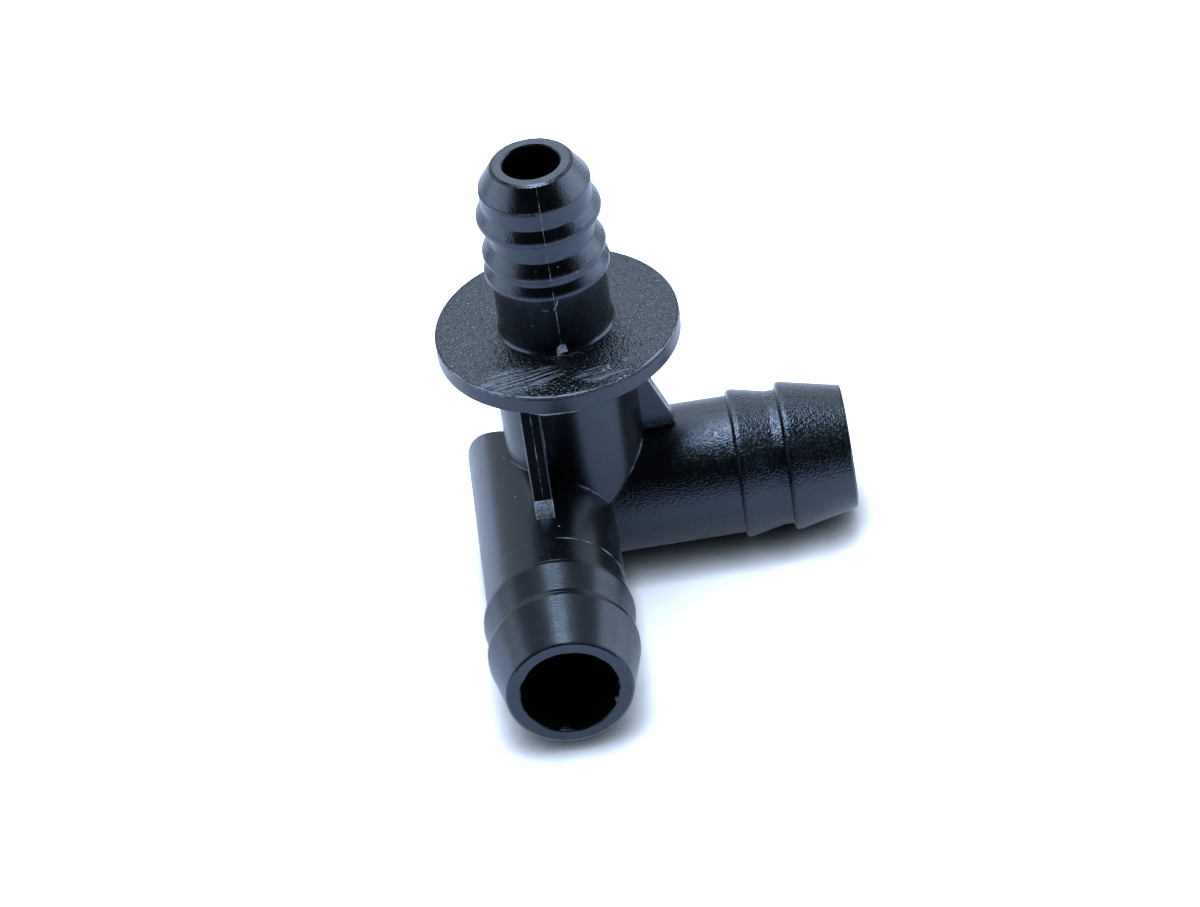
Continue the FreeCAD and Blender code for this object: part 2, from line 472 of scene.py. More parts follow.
def zones_group():
    """Masks of the eroded legs, the flange's upper face, the spigot, the scuffs, and the front web's foot,
    where a highlight is painted.
    """
    group, start, end = new_group(
        "mould_zones",
        [("Place", "NodeSocketVector", None)],
        ["Eroded", "Face", "Spigot", "Neck Height", "Scuffed", "Web Foot"],
    )
    parts = add_node(group, "ShaderNodeSeparateXYZ", "coordinates")
    plug(group, parts.inputs[0], start.outputs["Place"])
    x, y, z = parts.outputs
    border = mm(zone_border)
    over_leg = calc(group, "height over the leg axes", "SUBTRACT", z, mm(leg_axis_height))
    beyond = calc(group, "beyond the stem", "SUBTRACT", x, over_leg)
    side = soft_step(group, "side leg", beyond, -border, border)
    low = soft_step(group, "below the web", over_leg, mm(tube_radius + 0.6), mm(tube_radius + 0.5))
    side = calc(group, "side leg below the web", "MULTIPLY", side, low)
    front = soft_step(group, "ahead of the ring", y, mm(-ring_reach), mm(-ring_reach - zone_border))
    face = between(group, "flange face", z, mm(-face_depth), mm(0.06), mm(0.04))
    neck = between(group, "neck", z, mm(neck_start), mm(neck_end), mm(0.05))
    nose = soft_step(group, "spigot over the neck", z, mm(neck_end), mm(neck_end + 0.1))
    flare = calc(group, "height up the neck", "MULTIPLY", neck, z)
    foot_ahead = soft_step(group, "web foot ahead", y, mm(-web_foot_start), mm(-web_foot_start - 0.1))
    foot_behind = soft_step(group, "web foot behind", y, mm(-web_foot_reach - 0.1), mm(-web_foot_reach))
    foot_top = tube_radius + web_foot_rise
    foot_high = between(group, "web foot height", over_leg, mm(tube_radius), mm(foot_top), mm(0.04))
    # Paler towards the top of the web's foot: a painted highlight of the overhead light.
    foot_highlight_fade = soft_step(group, "painted highlight fades down the foot", over_leg, mm(tube_radius - 0.8), mm(foot_top - 0.3))
    foot = calc(group, "web foot span", "MULTIPLY", foot_ahead, foot_behind)
    foot = calc(group, "web foot", "MULTIPLY", foot, foot_high)
    foot_highlight_mask = calc(group, "painted highlight on web foot", "MULTIPLY", foot, foot_highlight_fade)
    front = calc(group, "fainter on the front leg", "MULTIPLY", front, grain_of_front_leg)
    legs = calc(group, "legs", "MAXIMUM", side, front)
    eroded = calc(group, "legs and foot", "MAXIMUM", legs, foot)
    scuffed = patch_mask(group, "scuffs left", x, y, *left_patch)
    more = patch_mask(group, "scuffs right", x, y, *right_patch)
    more = calc(group, "fewer on the right", "MULTIPLY", more, right_patch_strength)
    scuffed = calc(group, "both patches", "MAXIMUM", scuffed, more)
    scuffed = calc(group, "scuffed face", "MULTIPLY", scuffed, face)
    plug(group, end.inputs["Eroded"], eroded)
    plug(group, end.inputs["Face"], face)
    plug(group, end.inputs["Spigot"], nose)
    plug(group, end.inputs["Neck Height"], flare)
    plug(group, end.inputs["Scuffed"], scuffed)
    plug(group, end.inputs["Web Foot"], foot_highlight_mask)
    return group


mould_zones = zones_group()
print("zones:", mould_zones.name)

# %% [markdown]
# ## Black plastic
#
# The colour is nearly nothing: a black that is a trace bluer than neutral. All the rest is gloss. Its
# reflections are cold, which is set as a tint of the shader's own specular light. Roughness and bump change
# from zone to zone: the grain stands high on the eroded skin, coarser on the flange's face, half as high on
# the ribs and the nose, and is only a trace elsewhere. A slow unevenness lies under it, because moulded walls
# shrink a little as they cool, and the neck's flare is a bump too slight for the shape itself.

# %% Black plastic
plastic_colour = (0.0016, 0.0019, 0.0026, 1)
# Pale colour of the flange's scuffs, and of the painted highlight on the front web's foot
scuff_and_glint_colour = (0.26, 0.33, 0.43, 1)
plastic_tint = (0.55, 0.66, 0.86, 1)
pebble_size = 0.18
pebble_size_on_face = 0.30
grain_height = 0.036
grain_height_on_face = 0.075
grain_on_smooth = 0.10
grain_on_spigot = 0.52
neck_flare_slope = 0.13
sink_size = 2.2
sink_height = 0.012
smudge_size = 1.1
smudge_strength = 0.12
scratch_width = 0.085
scratch_amount = 0.56
scratch_height = 0.02
foot_glint_size = 0.15
roughness_of_steel = 0.19
roughness_of_eroded = 0.18
roughness_of_spigot = 0.16
roughness_of_scuffs = 0.44


def bumped(tree, label, height, distance, under=None):
    """A bump that rises by the height times the distance in metres, laid over another one if given."""
    node = add_node(tree, "ShaderNodeBump", label)
    node.inputs["Distance"].default_value = distance
    plug(tree, node.inputs["Height"], height)
    if under is not None:
        plug(tree, node.inputs["Normal"], under)
    return node.outputs["Normal"]


def black_plastic():
    """The moulding's own finish."""
    material = bpy.data.materials.new(slot_name)
    tree = emptied(material)
    place = add_node(tree, "ShaderNodeTexCoord", "place on the part").outputs["Object"]
    zones = use_group(tree, mould_zones, "zones", Place=place)
    grain = use_group(tree, spark_grain, "grain", Place=place, Pebble_Size=mm(pebble_size))
    coarse = use_group(tree, spark_grain, "coarse grain", Place=place, Pebble_Size=mm(pebble_size_on_face))
    scuffs = use_group(tree, handling_scuffs, "scuffs", Place=place, Width=mm(scratch_width),
                       Amount=scratch_amount)
    scuffed = calc(tree, "scuffs on the flange", "MULTIPLY", scuffs.outputs["Mask"], zones.outputs["Scuffed"])
    # The pale spots on the front web's foot come from this noise and are a painted highlight of the overhead
    # light.
    pale_spot_noise = noise_at(tree, "pale_spot_noise", place, mm(foot_glint_size), 2.0)
    rubbed = soft_step(tree, "painted glint spots", pale_spot_noise, 0.24, 0.60)
    foot = calc(tree, "painted glint on web foot", "MULTIPLY", rubbed, zones.outputs["Web Foot"])
    scuffs_and_painted_glints = calc(tree, "scuffs and painted glints", "MAXIMUM", scuffed, foot)

    sink = noise_at(tree, "sink marks", place, mm(sink_size), 1.0)
    smudge = noise_at(tree, "smudges", place, mm(smudge_size), 3.0)
    amount = mixed(tree, "grain on smooth steel", zones.outputs["Spigot"], grain_on_smooth, grain_on_spigot)
    amount = calc(tree, "grain amount", "MAXIMUM", zones.outputs["Eroded"], amount)
    grain_rise = calc(tree, "grain by zone", "MULTIPLY", grain.outputs["Height"], amount)
    hollow = bumped(tree, "unevenness", sink, mm(sink_height))
    hollow = bumped(tree, "neck flare", zones.outputs["Neck Height"], neck_flare_slope, hollow)
    skin = bumped(tree, "pebbled skin", grain_rise, mm(grain_height), hollow)
    face_rise = calc(tree, "grain of the face", "MULTIPLY", coarse.outputs["Height"], zones.outputs["Face"])
    skin = bumped(tree, "pebbled face", face_rise, mm(grain_height_on_face), skin)
    skin = bumped(tree, "scratched skin", scuffed, mm(scratch_height), skin)

    eroded = zones.outputs["Eroded"]
    rough = mixed(tree, "roughness by zone", eroded, roughness_of_steel, roughness_of_eroded)
    rough = mixed(tree, "glossier spigot", zones.outputs["Spigot"], rough, roughness_of_spigot)
    rough = calc(tree, "smudged roughness", "MULTIPLY_ADD", smudge, smudge_strength, rough)
    rough = mixed(tree, "scuffed roughness", scuffed, rough, roughness_of_scuffs)

    shader = add_node(tree, "ShaderNodeBsdfPrincipled", "plastic")
    colour = mixed_colour(tree, "plastic, scuffs and painted glints", scuffs_and_painted_glints, plastic_colour, scuff_and_glint_colour)
    plug(tree, shader.inputs["Base Color"], colour)
    plug(tree, shader.inputs["Roughness"], rough)
    plug(tree, shader.inputs["Normal"], skin)
    shader.inputs["Specular IOR Level"].default_value = 1.0
    shader.inputs["Specular Tint"].default_value = plastic_tint
    show(tree, shader)
    return material


plastic = black_plastic()
for index in range(len(body.material_slots)):
    body.material_slots[index].material = plastic
print("finish:", plastic.name)

# %% [markdown]
# ## Pale plastic of flash, worn edges and painted edge highlights
#
# Where black plastic is torn, stretched thin or rubbed, it turns grey: the surface breaks up and scatters
# light. The gate's stump, the slivers and threads of flash, two of the parting lines, the witness ring, the
# specks and the flakes have this finish. On the flange's rim in front, the front web's edges and the threads
# in the stem's seams, the same pale finish is also a painted highlight of those edges. It is still mostly
# black, so it shows only where light strikes it.

# %% Pale plastic
torn_colour = (0.04, 0.05, 0.07, 1)
# Pale peaks: greyed plastic, and on the edge beads and ridges a painted highlight
torn_peak_and_glint_colour = (0.33, 0.39, 0.47, 1)
torn_pebble_size = 0.16
torn_pebble_height = 0.03
torn_scratch_width = 0.3
roughness_of_torn = 0.24
roughness_of_torn_peaks = 0.45


def torn_plastic():
    """Black plastic that is broken up and greyed, and on some edges a painted highlight."""
    material = bpy.data.materials.new(slot_name + "_torn")
    tree = emptied(material)
    place = add_node(tree, "ShaderNodeTexCoord", "place on the part").outputs["Object"]
    grain = use_group(tree, spark_grain, "torn skin", Place=place, Pebble_Size=mm(torn_pebble_size))
    scuffs = use_group(tree, handling_scuffs, "pale_spot_noise", Place=place, Width=mm(torn_scratch_width),
                       Amount=1.0)
    pale = calc(tree, "pale spots", "MAXIMUM", grain.outputs["Peaks"], scuffs.outputs["Mask"])
    shader = add_node(tree, "ShaderNodeBsdfPrincipled", "torn plastic")
    colour = mixed_colour(tree, "torn plastic", pale, torn_colour, torn_peak_and_glint_colour)
    plug(tree, shader.inputs["Base Color"], colour)
    rough = mixed(tree, "torn roughness", pale, roughness_of_torn, roughness_of_torn_peaks)
    plug(tree, shader.inputs["Roughness"], rough)
    skin = bumped(tree, "torn skin", grain.outputs["Height"], mm(torn_pebble_height))
    plug(tree, shader.inputs["Normal"], skin)
    shader.inputs["Specular IOR Level"].default_value = 1.0
    shader.inputs["Specular Tint"].default_value = plastic_tint
    show(tree, shader)
    return material


torn = torn_plastic()
print("finish:", torn.name)

# %% [markdown]
# ## Finding the skin of the part
#
# Every mark sits on the moulding, so its place is found on the CAD mesh itself. A probe is a straight ray:
# it starts outside the part and stops at the first wall. A line of probes gives a path that climbs over
# each rib and barb by itself, so the lines need no size of theirs.

# %% Probes
skin_tree = BVHTree.FromObject(body, bpy.context.evaluated_depsgraph_get())
east, north, up = Vector((1, 0, 0)), Vector((0, 1, 0)), Vector((0, 0, 1))
far_out = 60


def probe(start, direction):
    """The first point of the skin that a ray meets, and the way the skin faces there."""
    point, facing, _, _ = skin_tree.ray_cast(start, direction)
    return point, facing


def stations(first, last, step):
    """Evenly spaced values from the first to the last, both included."""
    count = max(2, round(abs(last - first) / step) + 1)
    return [first + (last - first) * index / (count - 1) for index in range(count)]


def wander(position, pace, seed):
    """Smooth noise from 0 to 1 along a line, the same on each run."""
    return 0.5 + 0.5 * noise.noise(Vector((position / pace, 7.3 * seed, 1.7 * seed)))


print("skin has", len(body.data.polygons), "faces to probe")

# %% [markdown]
# ## Three ways to make a mark
#
# A **ridge** is swept along a path of probes: a low three-sided bead that swells, thins and breaks off as
# real flash does. A **hoop** is a small section turned about one of the part's axes, for edges and rings. A
# **stump** is a small broken dome. All three are closed meshes made with bmesh, and they stand a few
# hundredths of a millimetre proud of the wall and as deep in it, so nothing floats.

# %% Makers of marks
marks = []


def finish_mark(name, mesh_maker, material, smooth=True):
    """Turns a bmesh into a named piece that rides on the part."""
    bmesh.ops.recalc_face_normals(mesh_maker, faces=mesh_maker.faces)
    for face in mesh_maker.faces:
        face.smooth = smooth
    mesh = bpy.data.meshes.new(name)
    mesh_maker.to_mesh(mesh)
    mesh_maker.free()
    mesh.materials.append(material)
    piece = bpy.data.objects.new(name, mesh)
    scene.collection.objects.link(piece)
    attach(piece, "root")
    marks.append(piece)
    return piece


def skinned(name, rings, closed, material):
    """Joins rings of points, all of one count, into a tube. An open tube gets flat ends."""
    mesh_maker = bmesh.new()
    rows = [[mesh_maker.verts.new(point) for point in ring] for ring in rings]
    sides = len(rows[0])
    pairs = list(zip(rows, rows[1:]))
    if closed:
        pairs.append((rows[-1], rows[0]))
    for here, there in pairs:
        for side in range(sides):
            after = (side + 1) % sides
            mesh_maker.faces.new((here[side], here[after], there[after], there[side]))
    if not closed:
        mesh_maker.faces.new(rows[0])
        mesh_maker.faces.new(rows[-1])
    return finish_mark(name, mesh_maker, material)


def ridge(name, path, width, height, seed, breaks=0.3, pace=0.7, material=plastic):
    """A low bead along a path of (point, facing). Breaks is how much of it is worn away, from 0 to 1."""
    rings = []
    travelled = 0.0
    for index, (point, facing) in enumerate(path):
        ahead = path[min(index + 1, len(path) - 1)][0]
        behind = path[max(index - 1, 0)][0]
        along = (ahead - behind).normalized()
        across = along.cross(facing).normalized()
        if index:
            travelled += (point - path[index - 1][0]).length * 1000
        swell = max(0.0, (wander(travelled, pace, seed) - breaks) / (1 - breaks))
        swell = min(1.6, 1.9 * swell)
        ending = min(1.0, 4 * index / len(path), 4 * (len(path) - 1 - index) / len(path))
        rise = mm(height) * swell * ending
        half = mm(width) / 2 * (0.6 + 0.4 * swell)
        sway = across * mm(width) * 0.5 * (wander(travelled, 0.35, seed + 5) - 0.5)
        crest = point + facing * (rise + mm(0.002)) + sway
        root = point - facing * mm(0.03)
        rings.append([root + across * half, crest, root - across * half])
    return skinned(name, rings, False, material)


class Axis:
    """One of the part's turning axes: a centre, the axis itself and two directions across it."""

    def __init__(self, centre, along, zero):
        self.centre = centre
        self.along = along
        self.zero = zero
        self.quarter = up if abs(along.z) < 0.5 else north

    def outwards(self, angle):
        """The way out from the axis at this angle from the zero direction, in degrees."""
        turn = math.radians(angle)
        return self.zero * math.cos(turn) + self.quarter * math.sin(turn)

    def at(self, angle, radius, reach):
        """A point at this angle, and at this radius and reach in mm."""
        return self.centre + self.outwards(angle) * mm(radius) + self.along * mm(reach)


spigot_axis = Axis(Vector((0, 0, 0)), up, east)
front_axis = Axis(mm(-stem_offset, 0, leg_axis_height), -north, east)
side_axis = Axis(mm(-stem_offset, 0, leg_axis_height), east, -north)


degrees_in_radian = 57.3


def hoop(name, axis, section, seed, start=0, end=360, pace=9.0, least=0.4, most=1.6, step=1.5,
         material=plastic):
    """Turns a section of (radius, reach) corners about an axis, all the way or from one angle to another.

    The first corner is the root, and the others swell and shrink about it as the hoop goes round: least and
    most are their smallest and largest share of the section, and pace is how fast it changes, in degrees.
    """
    whole = end - start >= 360
    root_radius, root_reach = section[0]
    rings = []
    for angle in stations(start, end - (step if whole else 0), step):
        turn = math.radians(angle)
        sample = Vector((math.cos(turn), math.sin(turn), seed * 3.1)) * (degrees_in_radian / pace)
        size = least + (most - least) * max(0.0, 0.5 + 0.8 * noise.noise(sample))
        if not whole:
            size *= min(1.0, (angle - start + 0.2) / 6, (end - angle + 0.2) / 6)
        ring = []
        for radius, reach in section:
            grown_radius = root_radius + (radius - root_radius) * size
            grown_reach = root_reach + (reach - root_reach) * size
            ring.append(axis.at(angle, grown_radius, grown_reach))
        rings.append(ring)
    return skinned(name, rings, whole, material)


stump_depth = 0.04


def stump(name, point, facing, width, height, seed, sides=14, tiers=5, roughness=0.5):
    """A small broken dome. Its width is across and its height along the facing."""
    across = facing.cross(up if abs(facing.z) < 0.9 else east).normalized()
    other = facing.cross(across).normalized()
    mesh_maker = bmesh.new()
    rows = []
    for tier in range(tiers):
        lift = tier / tiers
        ring = []
        for side in range(sides):
            turn = 2 * math.pi * side / sides
            around = Vector((math.cos(turn) * 1.4, math.sin(turn) * 1.4, seed + lift))
            jag = 1 + roughness * noise.noise(around)
            radius = mm(width / 2) * math.sqrt(max(0.0, 1 - lift ** 2)) * jag
            rise = mm(height) * lift * (1 + roughness * noise.noise(Vector((turn, lift * 3, seed * 2.0))))
            offset = across * math.cos(turn) * radius + other * math.sin(turn) * radius
            ring.append(mesh_maker.verts.new(point + offset + facing * (rise - mm(stump_depth))))
        rows.append(ring)
    for here, there in zip(rows, rows[1:]):
        for side in range(sides):
            after = (side + 1) % sides
            mesh_maker.faces.new((here[side], here[after], there[after], there[side]))
    mesh_maker.faces.new(rows[0])
    mesh_maker.faces.new(rows[-1])
    return finish_mark(name, mesh_maker, torn, smooth=False)


print("makers ready: ridge, hoop and stump")

# %% [markdown]
# ## Parting lines
#
# The mould opened in two halves that met along the middle of each leg: a line runs up the front of the
# spigot, over the flange's rim, down the front web and along the top of the front leg, and another does the
# same on the side leg. Under the legs they come back. Each is a ridge a tenth of a millimetre wide.

# %% Parting lines
front_line_x = 0.14
web_line_x = -3.72
leg_line_x = -3.93
spigot_tip_height = 18.15
line_step = 0.12


def line_from_front(x, low, high):
    """Probes that come from the front at one X, from low to high."""
    starts = [mm(x, -far_out, height) for height in stations(low, high, line_step)]
    return [probe(start, north) for start in starts]


def line_from_side(low, high):
    """Probes that come from the side leg's end at Y 0."""
    starts = [mm(far_out, 0, height) for height in stations(low, high, line_step)]
    return [probe(start, -east) for start in starts]


def line_over_plan(first, last, height, direction):
    """Probes that start at one height and rise or fall, between two places (x, y) on the plan."""
    first = Vector((*first, 0))
    last = Vector((*last, 0))
    count = max(2, round((last - first).length / line_step) + 1)
    places = [first.lerp(last, index / (count - 1)) for index in range(count)]
    return [probe(mm(place.x, place.y, height), direction) for place in places]


under_flange = -flange_thickness - 0.7
below_plate = -3.0
neck_line_start = 0.8
spigot_line_end = spigot_tip_height - 0.25

# Each line: its place, its path, its width and height in mm, the share worn away, and its finish
parting_lines = [
    ("spigot_front", line_from_front(front_line_x, neck_line_start, spigot_line_end), 0.10, 0.05, 0.3, torn),
    ("rim_front", line_from_front(-0.05, -1.9, -0.1), 0.12, 0.05, 0.1, plastic),
    ("web_front", line_from_front(web_line_x, -11.7, under_flange), 0.11, 0.045, 0.32, torn),
    ("leg_front_top", line_over_plan((leg_line_x, -12.3), (leg_line_x, -28.9), below_plate, -up),
     0.14, 0.045, 0.2, plastic),
    ("leg_side_top", line_over_plan((9.6, 0), (25.1, 0), below_plate, -up), 0.12, 0.04, 0.3, plastic),
    ("leg_front_under", line_over_plan((leg_line_x, -1.0), (leg_line_x, -22.5), -far_out, up),
     0.12, 0.04, 0.3, plastic),
    ("leg_side_under", line_over_plan((-1.0, 0), (18.0, 0), -far_out, up), 0.12, 0.04, 0.3, plastic),
    ("web_side", line_from_side(-12.4, under_flange), 0.12, 0.045, 0.3, plastic),
    ("rim_side", line_from_side(-1.9, -0.1), 0.12, 0.04, 0.2, plastic),
    ("spigot_side", line_from_side(neck_line_start, spigot_line_end), 0.10, 0.04, 0.35, plastic),
]
for index, (place, line_path, width, height, breaks, finish) in enumerate(parting_lines):
    ridge("parting_line_" + place, line_path, width, height, seed=index + 1, breaks=breaks, material=finish)
print("parting lines:", len(marks))

# %% [markdown]
# ## Rubbed crests
#
# The sharp edges of the ribs and of the nose are what touches first, so they are rubbed and a little
# rounded, and each catches the light as a thin line. Rubbing polished them without tearing them, so they keep
# the black finish. Their heights are found by running a probe up the spigot and noting where the radius
# jumps.

# %% Rubbed crests
clear_of_lines = -60
jump_of_rib = 0.2
rib_land = 0.5


def spigot_radius(height):
    """The spigot's radius at one height, in mm, measured clear of the parting lines."""
    turn = math.radians(clear_of_lines)
    outwards = Vector((math.cos(turn), math.sin(turn), 0))
    point, _ = probe(outwards * mm(far_out) + up * mm(height), -outwards)
    return math.hypot(point.x, point.y) * 1000


def rib_crests():
    """The lower edge of each rib: its height and radius."""
    found = []
    heights = stations(1.5, 17.0, 0.02)
    for here, above in zip(heights, heights[1:]):
        if spigot_radius(above) - spigot_radius(here) > jump_of_rib:
            found.append((above, spigot_radius(above + 0.12)))
    return found


def edge_bead(radius, reach, thickness):
    """A six-sided section about an edge. Its first corner, which stays in place, is the outermost one."""
    turns = [math.radians(60 * side) for side in range(6)]
    return [(radius + thickness * math.cos(turn), reach + thickness * math.sin(turn)) for turn in turns]


crests = rib_crests()
for index, (height, radius) in enumerate(crests):
    lower_edge = edge_bead(radius - 0.055, height + 0.05, thickness=0.052)
    hoop("rib_edge_%d" % (index + 1), spigot_axis, lower_edge, seed=20 + index, pace=14, least=0.55)
    shoulder = edge_bead(radius - 0.06, height + rib_land - 0.01, thickness=0.045)
    hoop("rib_shoulder_%d" % (index + 1), spigot_axis, shoulder, seed=30 + index, pace=10, least=0.3)
print("rib crests at", ["%.2f" % height for height, _ in crests])

# %% [markdown]
# ## Nose
#
# The two halves of the mould didn't quite meet at the foot of the nose cone: on the left half the edge lies
# a quarter of a millimetre lower, as a thin step. The rim round the mouth is rubbed bright in places.

# %% Nose
nose_foot_height = 16.0
nose_band_radius = spigot_radius(nose_foot_height - 0.3)
nose_tip_radius = 3.75
step_section = [
    (nose_band_radius - 0.02, nose_foot_height - 0.27),
    (nose_band_radius + 0.022, nose_foot_height - 0.27),
    (nose_band_radius + 0.022, nose_foot_height - 0.07),
    (nose_band_radius - 0.02, nose_foot_height - 0.05),
]
foot_edge = edge_bead(nose_band_radius - 0.055, nose_foot_height - 0.01, thickness=0.05)
rim_edge = edge_bead(nose_tip_radius - 0.08, spigot_tip_height - 0.10, thickness=0.075)
hoop("mismatch_step", spigot_axis, step_section, seed=41, start=-184, end=-91, pace=30, least=0.8)
hoop("nose_foot_edge", spigot_axis, foot_edge, seed=42, pace=12, least=0.4)
hoop("nose_rim_edge", spigot_axis, rim_edge, seed=43, pace=9, least=0.2)
print("nose band radius %.2f mm" % nose_band_radius)

# %% [markdown]
# ## Gate stump and slivers
#
# The plastic came in at the foot of the neck, on the parting line, and the runner was broken off there. Its
# stump is a torn lump about a millimetre across. Thin slivers of flash lie near by, and more hang under the
# flange's rim, on the webs' edges and round the mouths of the legs. The pale bead along the flange's top edge
# in front and the pale ridges along the front web's edges are painted highlights of those edges.

# %% Gate stump and slivers
thread_sides = 5


def sliver(name, points, thickness, seed):
    """A thin curled thread between points of the skin, given in mm."""
    path = []
    for first, second in zip(points, points[1:]):
        for share in stations(0, 1, 0.2)[:-1]:
            path.append(mm(*first).lerp(mm(*second), share))
    path.append(mm(*points[-1]))
    rings = []
    for index, point in enumerate(path):
        along = (path[min(index + 1, len(path) - 1)] - path[max(index - 1, 0)]).normalized()
        across = along.cross(north).normalized()
        outwards = across.cross(along).normalized()
        ending = min(1.0, 0.25 + index / 3, 0.25 + (len(path) - 1 - index) / 3)
        girth = mm(thickness) * ending * (0.7 + 0.6 * wander(index, 1.7, seed))
        turns = [math.radians(360 / thread_sides * side) for side in range(thread_sides)]
        corners = [across * math.cos(turn) + outwards * math.sin(turn) for turn in turns]
        rings.append([point + corner * girth for corner in corners])
    return skinned(name, rings, False, torn)


gate_start = mm(0.11, -far_out, 0.62)
gate_point, gate_facing = probe(gate_start, north)
gate_lean = (gate_facing + up * 0.25).normalized()
stump("gate_stump", gate_point, gate_lean, width=1.15, height=0.34, seed=3, roughness=0.9)
stump("gate_tear", gate_point + mm(0.22, 0, 0.38), gate_facing, width=0.5, height=0.26, seed=9, sides=9,
      roughness=1.1)

neck_thread = [(0.45, -5.24, 6.3), (0.35, -5.30, 5.9), (0.10, -5.29, 5.4), (-0.05, -5.25, 5.05)]
low_thread = [(-1.1, -5.16, 5.35), (-0.8, -5.24, 5.2), (-0.5, -5.25, 5.25)]
sliver("flash_thread_neck", neck_thread, thickness=0.055, seed=11)
sliver("flash_thread_low", low_thread, thickness=0.04, seed=12)

rim_low = -flange_thickness + 0.05
rim_section = [
    (flange_radius - 0.16, rim_low),
    (flange_radius - 0.14, rim_low - 0.07),
    (flange_radius - 0.06, rim_low - 0.17),
    (flange_radius - 0.02, rim_low + 0.02),
]
# The pale bead along the flange's top edge in front is a painted highlight of that rounded edge.
rim_edge = edge_bead(flange_radius - 0.10, -0.09, thickness=0.075)
hoop("rim_flash_front", spigot_axis, rim_section, seed=51, start=-110, end=-84, pace=7, least=0.35, step=0.6,
     material=torn)
hoop("rim_edge_glint_front", spigot_axis, rim_edge, seed=52, start=-160, end=-15, pace=6, least=0.15, step=0.8,
     material=torn)

web_foot_height = -11.9
web_right_x = web_line_x + 0.86
web_left_x = web_line_x - 0.90
burr_path = line_from_front(web_right_x, -9.6, -7.6)
right_path = line_from_front(web_right_x, web_foot_height, under_flange)
left_path = line_from_front(web_left_x, web_foot_height, under_flange)
ridge("web_burr", burr_path, 0.22, 0.13, seed=61, breaks=0.2, pace=0.5, material=torn)
# The pale ridges on the front web's two edges are a painted highlight of those rounded edges; the burr is
# flash.
ridge("web_edge_glint_right", right_path, 0.12, 0.05, seed=62, breaks=0.15, material=torn)
ridge("web_edge_glint_left", left_path, 0.10, 0.045, seed=63, breaks=0.1, material=torn)
print("gate at %.2f mm over the flange" % (gate_point.z * 1000))

# %% [markdown]
# ## Barbs, mouths of the legs and the witness ring
#
# Each barb ends in a steep step. On the front leg the step's crest is rubbed round by a bead, and on the side
# leg a thin wedge leans against the step and takes up its sharp foot. Both stay inside the barb's radius.
#
# A core pin shaped each leg's bore, and where the pin met the mould a ragged feather of flash stands round
# the mouth. On the front leg a fainter trace shows where an insert of the mould began: a ring that is there
# only on the half towards the side leg.

# %% Barbs
barb_radius = 7.0

# Each step: its number, its reach along the leg, and the radius at its foot
barb_steps = [(1, 18.6, 6.5), (2, 23.2, 6.35)]
for number, crest_reach, foot_radius in barb_steps:
    crest_edge = edge_bead(barb_radius - 0.065, crest_reach + 0.03, thickness=0.06)
    hoop("crest_edge_front_%d" % number, front_axis, crest_edge, seed=75 + number, pace=12, least=0.7,
         most=1.1)
    step_foot_section = [
        (foot_radius - 0.05, crest_reach + 0.05),
        (foot_radius - 0.02, crest_reach - 0.24),
        (foot_radius + 0.10, crest_reach - 0.20),
        (barb_radius - 0.07, crest_reach - 0.03),
        (barb_radius - 0.05, crest_reach + 0.05),
    ]
    hoop("step_foot_side_%d" % number, side_axis, step_foot_section, seed=77 + number, pace=16, least=0.9,
         most=1.05)
print("barb steps dressed:", 2 * len(barb_steps))

# %% Mouths and ring
leg_bore_radius = 4.55
leg_reach = 29.2
mouth_section = [
    (leg_bore_radius + 0.14, leg_reach - 0.05),
    (leg_bore_radius + 0.05, leg_reach - 0.02),
    (leg_bore_radius - 0.02, leg_reach - 0.12),
    (leg_bore_radius + 0.06, leg_reach - 0.24),
]
for name, axis, seed in (("front", front_axis, 71), ("side", side_axis, 72)):
    hoop("mouth_flash_" + name, axis, mouth_section, seed=seed, pace=14, least=-0.2)

# Each torn spot of the front mouth: its first and last angle, and its seed
torn_spots = [(-32, 8, 81), (-112, -84, 82)]
torn_section = [
    (leg_bore_radius + 0.10, leg_reach - 0.06),
    (leg_bore_radius - 0.10, leg_reach - 0.10),
    (leg_bore_radius - 0.26, leg_reach - 0.30),
    (leg_bore_radius + 0.06, leg_reach - 0.50),
]
for start, end, seed in torn_spots:
    hoop("mouth_tear_%d" % seed, front_axis, torn_section, seed=seed, start=start, end=end, pace=7, least=0.1,
         step=0.8)

tip_radius = 5.8
tip_edge = edge_bead(tip_radius - 0.005, leg_reach - 0.12, thickness=0.06)
for name, axis, seed in (("front", front_axis, 74), ("side", side_axis, 75)):
    hoop("tip_edge_" + name, axis, tip_edge, seed=seed, start=30, end=150, pace=16, least=0.6, step=1.0)

ring_section = [
    (tube_radius - 0.03, ring_reach - 0.06),
    (tube_radius + 0.035, ring_reach),
    (tube_radius - 0.03, ring_reach + 0.06),
]
hoop("witness_ring", front_axis, ring_section, seed=73, start=-80, end=89, pace=11, least=0.1, material=torn)
print("mouth flash on two legs, one witness ring")

# %% [markdown]
# ## Blends at the stem's foot
#
# The stem lands on both legs, which are as thick as it is. In the mould that corner was cut with a small
# cutter, so a thin hollow blend runs along it. Each point of the seam lies on both tubes. From there the
# blend reaches a little way up the stem and a little way over the leg, and a curve pulled towards the seam
# joins the two.

# %% Blends
blend_width = 0.13
blend_steps = 6
seam_step = 0.15


